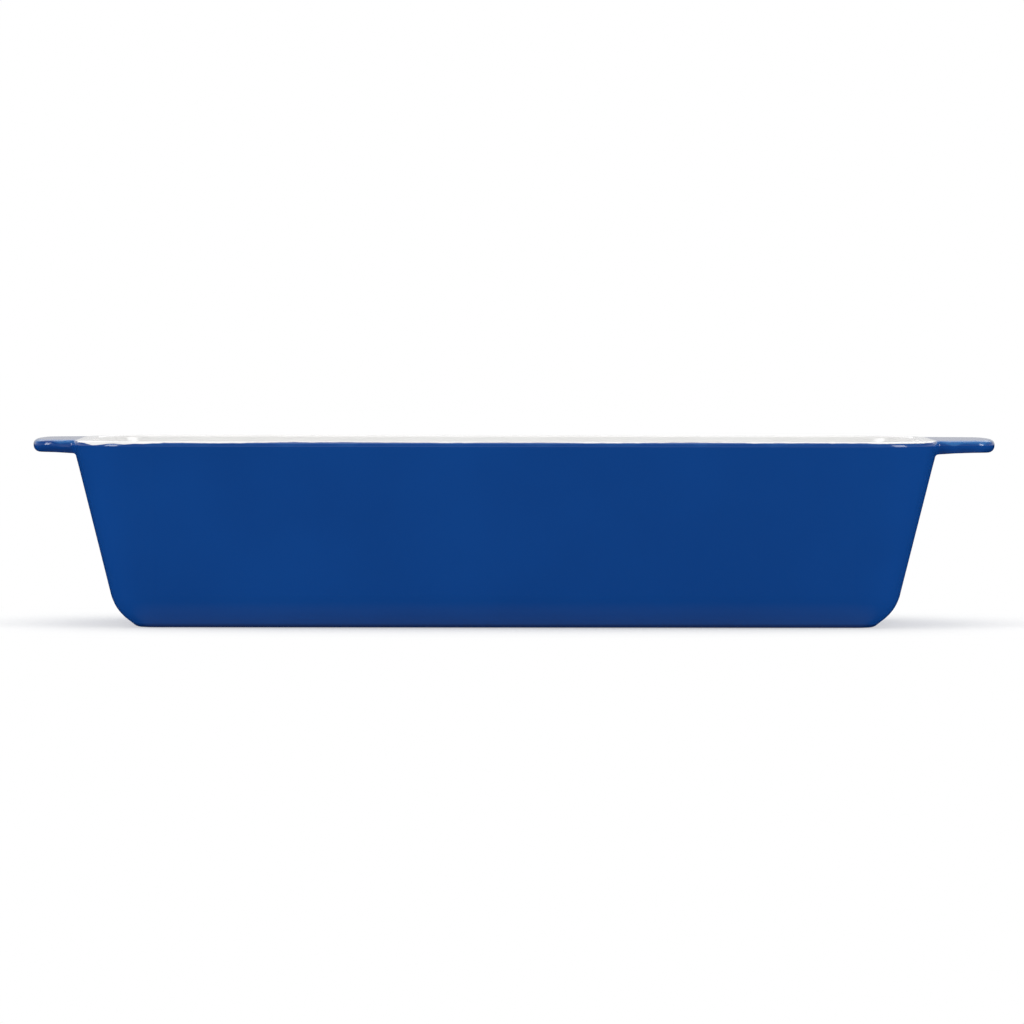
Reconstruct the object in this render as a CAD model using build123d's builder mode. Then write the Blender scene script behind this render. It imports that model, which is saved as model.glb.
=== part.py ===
from build123d import *

import os
from math import cos, radians, tan

# Loaf pan: a cast-iron tub with a flat lug at each end, glazed blue outside and white inside.
# It stands on z = 0 with its length along X, and the origin is the middle of its underside.
# Every layer is worked out from the finished surface: pan_at(inset) is the pan with all of its
# surfaces moved into the metal by inset, so the casting and its coats share their faces.
# Millimetres and degrees.

# Tub, measured over the finished enamel, before the rim is rounded
RIM_LENGTH = 325.0
RIM_WIDTH = 135.0
HEIGHT = 70.0
DRAFT = 14.1  # lean of all four walls from the vertical
WALL = 4.6  # square to the wall; the floor is the same
RIM_CORNER_RADIUS = 32.0
RIM_OUTER_ROUND = 1.9
RIM_INNER_ROUND = 1.2
BEVEL_HEIGHT = 6.6  # a bevel takes the walls into the underside
BEVEL_LEAN = 52.0
BEVEL_TOP_ROUND = 17.0
BEVEL_FOOT_ROUND = 4.0
CAVITY_FLOOR_ROUND = 11.4

# End lugs, flush with the rim and a little hollow underneath; one is poured longer
LUG_REACH_LEFT = 16.4
LUG_REACH_RIGHT = 22.7
LUG_ROOT_WIDTH = 80.0
LUG_TIP_WIDTH = 66.0
LUG_CROWN = 2.5  # how far the tip bows out between its corners
LUG_CORNER_RADIUS = 11.0
LUG_ROOT_THICKNESS = 6.4
LUG_MIDDLE_THICKNESS = 4.7
LUG_TIP_THICKNESS = 4.9
LUG_UNDER_ROUND = 2.3
LUG_WALL_BLEND = 1.5
LUG_BURIED = 12.0  # length of the plate that starts inside the wall

# Enamel
GROUND_COAT = 0.25
COVER_COAT = 0.3
COLOUR_LINE = 1.0  # the white ends this far in from the rim's outer edge
COLOUR_LINE_DEPTH = 1.2  # and reaches this far down, past the coat it is cut from
PIN_MARK_RADIUS = 1.4  # bare spots left by the firing pins under the pan
PIN_MARK_X = 92.0
PIN_MARK_Y = 30.0

LEAN = tan(radians(DRAFT))
SIDESTEP = 1 / cos(radians(DRAFT))  # level distance for each unit square to a wall
# How far the bevel's upper edge climbs for each unit that the surface moves in
BEVEL_CLIMB = (1 / cos(radians(BEVEL_LEAN)) - SIDESTEP) / (tan(radians(BEVEL_LEAN)) - LEAN)


def outline_at(z, inset):
    """The tub's level outline at height z, drawn into the current sketch."""
    step = (HEIGHT - z) * LEAN + inset * SIDESTEP
    return RectangleRounded(RIM_LENGTH - 2 * step, RIM_WIDTH - 2 * step, RIM_CORNER_RADIUS - step)


def tub_at(inset):
    """The tub with no cavity, its walls running through a bevel into the underside."""
    top = HEIGHT - inset
    bevel_top = BEVEL_HEIGHT + inset * BEVEL_CLIMB
    with BuildPart() as tub:
        with BuildSketch(Plane.XY.offset(top)):
            outline_at(top, inset)
        extrude(amount=bevel_top - top, taper=DRAFT)
        with BuildSketch(Plane.XY.offset(bevel_top)):
            outline_at(bevel_top, inset)
        extrude(amount=inset - bevel_top, taper=BEVEL_LEAN)
        knuckle = [edge for edge in tub.edges() if abs(edge.center().Z - bevel_top) < 0.01]
        fillet(knuckle, BEVEL_TOP_ROUND - inset)
        fillet(tub.faces().sort_by(Axis.Z)[0].edges(), BEVEL_FOOT_ROUND - inset)
    return tub.part


def cavity_at(inset, top):
    """The space inside the pan, from its floor up to a level at or past the rim."""
    depth = WALL - inset
    with BuildPart() as cavity:
        with BuildSketch(Plane.XY.offset(top)):
            outline_at(top, depth)
        extrude(amount=depth - top, taper=DRAFT)
        fillet(cavity.faces().sort_by(Axis.Z)[0].edges(), CAVITY_FLOOR_ROUND + inset)
    return cavity.part


def lug_at(inset, reach):
    """A lug at the +X end, from inside the wall to its tip, rounded underneath."""
    root_x = RIM_LENGTH / 2 - LUG_BURIED
    tip_x = RIM_LENGTH / 2 + reach
    corner_x = tip_x - LUG_CROWN
    top = HEIGHT - inset
    with BuildPart() as lug:
        with BuildSketch(Plane.XY.offset(top)) as plan:
            with BuildLine():
                root = Line((root_x, -LUG_ROOT_WIDTH / 2), (root_x, LUG_ROOT_WIDTH / 2))
                side = Line(root @ 1, (corner_x, LUG_TIP_WIDTH / 2))
                tip = ThreePointArc(side @ 1, (tip_x, 0), (corner_x, -LUG_TIP_WIDTH / 2))
                Line(tip @ 1, root @ 0)
            make_face()
            fillet(plan.vertices().group_by(Axis.X)[-1], LUG_CORNER_RADIUS)
            if inset > 0:
                offset(amount=-inset)
        extrude(amount=-2 * LUG_ROOT_THICKNESS)
        with BuildSketch(Plane.XZ):
            with BuildLine():
                under = ThreePointArc(
                    (root_x, HEIGHT - LUG_ROOT_THICKNESS + inset),
                    (RIM_LENGTH / 2 + reach / 2, HEIGHT - LUG_MIDDLE_THICKNESS + inset),
                    (tip_x + LUG_CROWN, HEIGHT - LUG_TIP_THICKNESS + inset),
                )
                Polyline(under @ 1, (tip_x + LUG_CROWN, top), (root_x, top), under @ 0)
            make_face()
        extrude(amount=LUG_ROOT_WIDTH, both=True, mode=Mode.INTERSECT)
        underside = lug.faces().filter_by(GeomType.CYLINDER).sort_by(Axis.Z)[0]
        fillet(underside.edges().sort_by(Axis.X)[1:], LUG_UNDER_ROUND - inset)
    return lug.part


def pan_at(inset):
    """The whole pan with every surface moved into the metal by inset."""
    top = HEIGHT - inset
    tub = tub_at(inset)
    cavity = cavity_at(inset, HEIGHT + 5)
    right_lug = lug_at(inset, LUG_REACH_RIGHT)
    left_lug = lug_at(inset, LUG_REACH_LEFT).mirror(Plane.YZ)
    with BuildPart() as pan:
        add(tub)
        add([right_lug, left_lug])
        joins = pan.edges(Select.NEW)
        fillet(joins.filter_by(lambda edge: edge.center().Z < top - 0.01), LUG_WALL_BLEND + inset)
        fillet(pan.faces().sort_by(Axis.Z)[-1].edges(), RIM_OUTER_ROUND - inset)
        add(cavity, mode=Mode.SUBTRACT)
        mouth = pan.faces().sort_by(Axis.Z)[-1].inner_wires()[0]
        fillet(mouth.edges(), RIM_INNER_ROUND - inset)
    return pan.part


finished = pan_at(0)
primed = pan_at(COVER_COAT)
bare = pan_at(COVER_COAT + GROUND_COAT)

# Everything on the white side of the colour line: the cavity, and the rim down to a shallow depth
white_cavity = cavity_at(COVER_COAT, HEIGHT + 1)
with BuildPart() as white_side:
    with BuildSketch(Plane.XY.offset(HEIGHT - COLOUR_LINE_DEPTH)):
        RectangleRounded(
            RIM_LENGTH - 2 * COLOUR_LINE,
            RIM_WIDTH - 2 * COLOUR_LINE,
            RIM_CORNER_RADIUS - COLOUR_LINE,
        )
    extrude(amount=COLOUR_LINE_DEPTH + 1)
    add(white_cavity)

with BuildPart() as iron_body:
    add(bare)

with BuildPart() as ground_coat:
    add(primed)
    add(bare, mode=Mode.SUBTRACT)

with BuildPart() as interior_enamel:
    add(finished)
    add(primed, mode=Mode.SUBTRACT)
    add(white_side.part, mode=Mode.INTERSECT)

with BuildPart() as exterior_enamel:
    add(finished)
    add(primed, mode=Mode.SUBTRACT)
    add(white_side.part, mode=Mode.SUBTRACT)
    with BuildSketch(Plane.XY):
        with GridLocations(2 * PIN_MARK_X, 2 * PIN_MARK_Y, 2, 2):
            Circle(PIN_MARK_RADIUS)
    extrude(amount=COVER_COAT, mode=Mode.SUBTRACT)

iron_body.part.label = "iron_body"
ground_coat.part.label = "ground_coat"
interior_enamel.part.label = "interior_enamel"
exterior_enamel.part.label = "exterior_enamel"

os.makedirs("parts", exist_ok=True)
export_step(iron_body.part, "parts/iron_body.step")
export_step(ground_coat.part, "parts/ground_coat.step")
export_step(interior_enamel.part, "parts/interior_enamel.step")
export_step(exterior_enamel.part, "parts/exterior_enamel.step")
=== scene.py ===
import math

import bpy
from mathutils import Matrix, Vector


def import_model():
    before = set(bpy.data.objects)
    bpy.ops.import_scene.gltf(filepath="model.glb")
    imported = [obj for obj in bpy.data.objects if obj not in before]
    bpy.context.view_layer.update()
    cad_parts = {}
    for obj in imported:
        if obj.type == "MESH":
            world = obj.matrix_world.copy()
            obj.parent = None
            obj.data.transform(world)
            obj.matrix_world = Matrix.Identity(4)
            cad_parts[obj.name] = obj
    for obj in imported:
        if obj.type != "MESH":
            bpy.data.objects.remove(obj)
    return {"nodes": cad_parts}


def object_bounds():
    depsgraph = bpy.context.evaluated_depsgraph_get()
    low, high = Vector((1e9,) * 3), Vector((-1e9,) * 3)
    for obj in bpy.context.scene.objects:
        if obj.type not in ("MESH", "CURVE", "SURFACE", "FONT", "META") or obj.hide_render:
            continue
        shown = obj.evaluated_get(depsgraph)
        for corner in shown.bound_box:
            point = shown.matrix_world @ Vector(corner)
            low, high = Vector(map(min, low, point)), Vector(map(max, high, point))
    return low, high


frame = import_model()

CAD_LOW, CAD_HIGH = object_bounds()

MM = 0.001

# The rim before its edge is rounded, and the lean of the walls under it
RIM_HALF_LENGTH, RIM_HALF_WIDTH = 162.5 * MM, 67.5 * MM
RIM_CORNER = 32 * MM
RIM_HEIGHT = CAD_HIGH.z
WALL_LEAN = math.tan(math.radians(14.1))

# How far the colour line lies in from the outer wall
COLOUR_LINE = 1.25 * MM

# Glazes and metal, and blues painted as light and shade, as linear red, green, blue and alpha
BLUE = (0.0042, 0.0500, 0.229, 1)
BLUE_DEEP = (0.0039, 0.0455, 0.211, 1)
# Paler blue painted over the upper rounds as light from above
BLUE_PAINTED_LIGHT = (0.040, 0.170, 0.430, 1)
# Dark blue painted as shade under the lugs and at the foot
BLUE_PAINTED_SHADE = (0.0025, 0.018, 0.095, 1)
WHITE = (0.785, 0.782, 0.777, 1)
WHITE_WARM = (0.765, 0.757, 0.744, 1)
BLACK_GLAZE = (0.004, 0.006, 0.012, 1)
BLACK_GLAZE_PALE = (0.006, 0.008, 0.015, 1)
IRON = (0.02, 0.02, 0.021, 1)
IRON_PALE = (0.03, 0.03, 0.03, 1)

# Paper and light
PAPER = (0.90, 0.90, 0.90, 1)
PAPER_PALE = (0.93, 0.93, 0.925, 1)
WHITE_LIGHT = (1, 1, 1, 1)
MIRRORED_FLOOR = (0.002, 0.013, 0.05, 1)


# ---------------------------------------------------------------- node helpers

class Tree:
    """Adds nodes to a node tree with less writing."""

    def __init__(self, tree):
        self.tree = tree
        tree.nodes.clear()

    def feed(self, node, name, value):
        """Sets an input to a value, or links it to another node's output."""
        if isinstance(value, bpy.types.NodeSocket):
            self.tree.links.new(value, node.inputs[name])
        else:
            node.inputs[name].default_value = value

    def add(self, kind, inputs=None, **settings):
        node = self.tree.nodes.new(kind)
        for name, value in settings.items():
            setattr(node, name, value)
        for name, value in (inputs or {}).items():
            self.feed(node, name, value)
        return node

    def math(self, operation, *values):
        return self.add("ShaderNodeMath", dict(enumerate(values)), operation=operation).outputs[0]

    def split(self, coords):
        return self.add("ShaderNodeSeparateXYZ", {0: coords}).outputs

    def noise(self, coords, scale, detail):
        inputs = {"Vector": coords, "Scale": scale, "Detail": detail, "Roughness": 0.5}
        return self.add("ShaderNodeTexNoise", inputs).outputs["Fac"]

    def remap(self, value, low, high, out_low, out_high):
        inputs = {"Value": value, "From Min": low, "From Max": high}
        inputs.update({"To Min": out_low, "To Max": out_high})
        return self.add("ShaderNodeMapRange", inputs).outputs["Result"]

    def ramp(self, value, start, end):
        """0 up to the start and 1 from the end on."""
        return self.remap(value, start, end, 0, 1)

    def wave(self, coords, scale, detail, low, high):
        """Noise of a scale and detail, spread out between two values."""
        return self.remap(self.noise(coords, scale, detail), 0.3, 0.7, low, high)

    def blend(self, factor, first, second):
        colour_inputs = {0: factor, 6: first, 7: second}
        return self.add("ShaderNodeMix", data_type="RGBA", inputs=colour_inputs).outputs[2]

    def mix_shaders(self, factor, first, second):
        return self.add("ShaderNodeMixShader", {0: factor, 1: first, 2: second}).outputs[0]


def new_material(name):
    material = bpy.data.materials.new(name)
    material.use_nodes = True
    return material, Tree(material.node_tree)


# ---------------------------------------------------------------- enamel

def rim_coordinates(t, where):
    """How far in from the outer wall a point lies, how far under the rim, and how near a corner."""
    x, y, z = t.split(where)
    past_x = t.math("SUBTRACT", t.math("ABSOLUTE", x), RIM_HALF_LENGTH - RIM_CORNER)
    past_y = t.math("SUBTRACT", t.math("ABSOLUTE", y), RIM_HALF_WIDTH - RIM_CORNER)
    round_x, round_y = t.math("MAXIMUM", past_x, 0.0), t.math("MAXIMUM", past_y, 0.0)
    squares = t.math("ADD", t.math("MULTIPLY", round_x, round_x), t.math("MULTIPLY", round_y, round_y))
    straight_part = t.math("MINIMUM", t.math("MAXIMUM", past_x, past_y), 0.0)
    inside = t.math("SUBTRACT", RIM_CORNER, t.math("ADD", t.math("SQRT", squares), straight_part))
    under = t.math("SUBTRACT", RIM_HEIGHT, z)
    inward = t.math("SUBTRACT", inside, t.math("MULTIPLY", under, WALL_LEAN))
    corner = t.math("MULTIPLY", t.ramp(past_x, -4 * MM, 6 * MM), t.ramp(past_y, 9 * MM, 18 * MM))
    return x, inward, under, corner


def whiteness(t, where, fall):
    """1 on the white side of the hand-wiped colour line and 0 on the blue side.

    The line moves in from the wall by the fall for each unit of depth under the rim.
    """
    x, inward, under, corner = rim_coordinates(t, where)
    wander = t.wave(where, 26.0, 1.0, -0.28 * MM, 0.28 * MM)
    ripple = t.wave(where, 150.0, 2.0, -0.16 * MM, 0.16 * MM)
    drip = t.wave(where, 75.0, 1.0, -1.1 * MM, 0.4 * MM)
    left_drip = t.remap(x, -100 * MM, 0.0, -1.6 * MM, 0.0)
    at_corner = t.math("MULTIPLY", corner, t.math("ADD", drip, left_drip))
    line = t.math("ADD", t.math("ADD", wander, ripple), t.math("ADD", at_corner, COLOUR_LINE))
    reach = t.math("SUBTRACT", inward, t.math("MULTIPLY", under, fall))
    return t.ramp(t.math("SUBTRACT", reach, line), -0.16 * MM, 0.20 * MM)


def painted_light_and_shade_on_blue(t, where, colour):
    """Paints light and shade on the blue: paler upper edges as top light, shade under the lugs and at the
    foot.
    """
    x, _, z = t.split(where)
    on_lug = t.ramp(t.math("ABSOLUTE", x), RIM_HALF_LENGTH - 3.5 * MM, RIM_HALF_LENGTH + 1.5 * MM)
    uneven_z = t.math("ADD", z, t.wave(where, 105.0, 1.5, -1.1 * MM, 0.7 * MM))
    up_the_round = t.ramp(uneven_z, RIM_HEIGHT - 1.6 * MM, RIM_HEIGHT - 0.7 * MM)
    off_the_top = t.ramp(z, RIM_HEIGHT - 0.01 * MM, RIM_HEIGHT - 0.10 * MM)
    on_edge = t.math("MULTIPLY", up_the_round, off_the_top)
    # Paler blue painted over the upper rounds as top light: a little on the rim, most on the lugs
    painted_top_light = t.math("MULTIPLY", on_edge, t.remap(on_lug, 0, 1, 0.12, 0.70))
    colour = t.blend(painted_top_light, colour, BLUE_PAINTED_LIGHT)
    # Painted shade under the lugs, darker further down
    painted_lug_shade = t.remap(uneven_z, RIM_HEIGHT - 2.4 * MM, RIM_HEIGHT - 4.5 * MM, 0.0, 0.65)
    colour = t.blend(t.math("MULTIPLY", painted_lug_shade, on_lug), colour, BLUE_PAINTED_SHADE)
    # Painted shade in a thin dark band just above the base, leaving the flat underside as it is
    off_the_base = t.ramp(z, 0.01 * MM, 0.15 * MM)
    painted_foot_shade = t.math("MULTIPLY", t.remap(z, 1.7 * MM, 0.9 * MM, 0.0, 0.85), off_the_base)
    return t.blend(painted_foot_shade, colour, BLUE_PAINTED_SHADE)


def glaze_relief(t, where):
    """Orange peel over slow swells, and deeper ripples where glaze has gathered on the lugs."""
    swell, peel = t.noise(where, scale=55.0, detail=1.0), t.noise(where, scale=420.0, detail=1.5)
    fine = t.math("ADD", swell, t.math("MULTIPLY", peel, 0.12))
    fine_bump = t.add("ShaderNodeBump", {"Height": fine, "Distance": 0.04 * MM, "Strength": 1.0})
    x, _, z = t.split(where)
    on_lug = t.ramp(t.math("ABSOLUTE", x), RIM_HALF_LENGTH - 2.5 * MM, RIM_HALF_LENGTH + 4.0 * MM)
    below_top = t.remap(z, RIM_HEIGHT - 0.6 * MM, RIM_HEIGHT - 0.15 * MM, 1.0, 0.10)
    ripples = t.noise(where, scale=115.0, detail=1.0)
    gathered = t.math("MULTIPLY", ripples, t.math("MULTIPLY", on_lug, below_top))
    inputs = {"Height": gathered, "Distance": 0.5 * MM, "Strength": 1.0, "Normal": fine_bump.outputs[0]}
    return t.add("ShaderNodeBump", inputs).outputs[0]


def two_tints(t, where, first, second):
    """Colour that drifts between two close tints."""
    return t.blend(t.ramp(t.noise(where, scale=16.0, detail=3.0), 0.35, 0.65), first, second)


def blue_enamel(t, where):
    blue = painted_light_and_shade_on_blue(t, where, two_tints(t, where, BLUE, BLUE_DEEP))
    return t.blend(whiteness(t, where, fall=1.2), blue, WHITE)


def white_enamel(t, where):
    return t.blend(whiteness(t, where, fall=0.0), BLUE, two_tints(t, where, WHITE, WHITE_WARM))


def ground_enamel(t, where):
    return two_tints(t, where, BLACK_GLAZE, BLACK_GLAZE_PALE)


def cast_iron(t, where):
    return two_tints(t, where, IRON, IRON_PALE)


def coat(node, name, colouring, roughness):
    """Gives a CAD node a new material in the colouring."""
    material, t = new_material(name)
    where = t.add("ShaderNodeTexCoord").outputs["Object"]
    inputs = {"Base Color": colouring(t, where), "Roughness": roughness, "Normal": glaze_relief(t, where)}
    surface = t.add("ShaderNodeBsdfPrincipled", inputs).outputs[0]
    t.add("ShaderNodeOutputMaterial", {"Surface": surface})
    for slot in frame["nodes"][node].material_slots:
        slot.material = material


# ---------------------------------------------------------------- stage

def floor_paper():
    """Paper with a painted glow, full away from the pan and weaker near it, so that its brightness evens
    out away from the pan.
    """
    material, t = new_material("floor_paper")
    where = t.add("ShaderNodeTexCoord").outputs["Object"]
    colour = t.blend(t.noise(where, scale=3.0, detail=4.0), PAPER, PAPER_PALE)
    inputs = {"Base Color": colour, "Roughness": 0.9, "Specular IOR Level": 0.1}
    paper = t.add("ShaderNodeBsdfPrincipled", inputs)
    # The glow grows outwards in ovals 2.6 times as long as they are wide, measured along their length
    oval = t.add("ShaderNodeVectorMath", {0: where, 1: (1.0, 2.6, 1.0)}, operation="MULTIPLY")
    away = t.add("ShaderNodeVectorMath", {0: oval.outputs[0]}, operation="LENGTH").outputs["Value"]
    glow_starts, glow_is_full = 0.14, 0.34
    glow = t.remap(away, glow_starts, glow_is_full, 0.45, 1.0)
    # The floor glows as painted light; near the pan the glow is weaker, so the pan's shadow stays there
    painted_floor_glow = t.add("ShaderNodeEmission", {"Color": WHITE_LIGHT, "Strength": 1.0})
    surface = t.mix_shaders(glow, paper.outputs[0], painted_floor_glow.outputs[0])
    t.add("ShaderNodeOutputMaterial", {"Surface": surface})
    return material


def stage_floor():
    half = 9.0
    clearance = 0.2 * MM
    corners = [(-half, -half, 0), (half, -half, 0), (half, half, 0), (-half, half, 0)]
    mesh = bpy.data.meshes.new("floor")
    mesh.from_pydata(corners, [], [(0, 1, 2, 3)])
    mesh.materials.append(floor_paper())
    floor = bpy.data.objects.new("floor", mesh)
    bpy.context.scene.collection.objects.link(floor)
    floor.location.z = CAD_LOW.z - clearance
    floor.visible_glossy = False


def softbox(name, place, target, width, height, power):
    data = bpy.data.lights.new(name, "AREA")
    data.shape = "RECTANGLE"
    data.size, data.size_y = width, height
    data.energy = power
    light = bpy.data.objects.new(name, data)
    light.location = place
    light.visible_camera = False
    light.rotation_euler = (Vector(target) - Vector(place)).to_track_quat("-Z", "Y").to_euler()
    bpy.context.scene.collection.objects.link(light)


def world():
    """White to the eye, even light on matt surfaces, and a dim sky over a dark floor in the glaze."""
    sky = bpy.data.worlds.new("studio")
    bpy.context.scene.world = sky
    sky.use_nodes = True
    t = Tree(sky.node_tree)
    # The upward part of the ray's direction, from -1 straight down to 1 straight up
    up = t.split(t.add("ShaderNodeTexCoord").outputs["Generated"])["Z"]
    above_horizon = t.remap(up, -0.012, 0.022, 0.0, 0.68)
    fading_upwards = t.remap(up, 0.06, 0.36, 1.0, 0.22)
    straight_below = t.remap(up, -0.72, -0.95, 0.0, 0.11)
    level = t.math("MAXIMUM", t.math("MULTIPLY", above_horizon, fading_upwards), straight_below)
    mirrored_colour = t.blend(level, MIRRORED_FLOOR, WHITE_LIGHT)

    def background(colour, strength):
        return t.add("ShaderNodeBackground", {"Color": colour, "Strength": strength}).outputs[0]

    ray = t.add("ShaderNodeLightPath").outputs
    lighting, seen = background(WHITE_LIGHT, 0.58), background(WHITE_LIGHT, 1.0)
    direct = t.mix_shaders(ray["Is Camera Ray"], lighting, seen)
    surface = t.mix_shaders(ray["Is Glossy Ray"], direct, background(mirrored_colour, 1.0))
    t.add("ShaderNodeOutputWorld", {"Surface": surface})


def camera():
    """A long lens a little above the rim, looking down by under two degrees as in the photograph."""
    distance, above_rim, sideways = 2.5, 50 * MM, 2.4 * MM
    pitch, roll = math.radians(-1.7405), math.radians(0.057)
    data = bpy.data.cameras.new("camera")
    data.sensor_width = 36.0
    data.lens = 237.5
    data.clip_start, data.clip_end = 0.05, 50
    cam = bpy.data.objects.new("camera", data)
    cam.location = (sideways, CAD_LOW.y - distance, CAD_HIGH.z + above_rim)
    turn = Matrix.Rotation(math.pi / 2 + pitch, 4, "X") @ Matrix.Rotation(roll, 4, "Z")
    cam.rotation_euler = turn.to_euler()
    bpy.context.scene.collection.objects.link(cam)
    bpy.context.scene.camera = cam


# ---------------------------------------------------------------- scene

coat("exterior_enamel", "blue_enamel", blue_enamel, roughness=0.09)
coat("interior_enamel", "white_enamel", white_enamel, roughness=0.14)
coat("ground_coat", "ground_enamel", ground_enamel, roughness=0.3)
coat("iron_body", "cast_iron", cast_iron, roughness=0.5)

stage_floor()
world()
camera()
pan_middle = (0, 0, 0.03)
softbox("top", (0, 0, 2.4), (0, 0, 0), width=1.6, height=1.6, power=20)
for name, side in (("left", -1), ("right", 1)):
    softbox(name, (side * 2.4, -1.1, 0.9), pan_middle, width=0.9, height=1.5, power=29)
softbox("back", (0, 2.2, 1.5), pan_middle, width=3.2, height=1.7, power=22)

bpy.context.scene.view_settings.view_transform = "Standard"
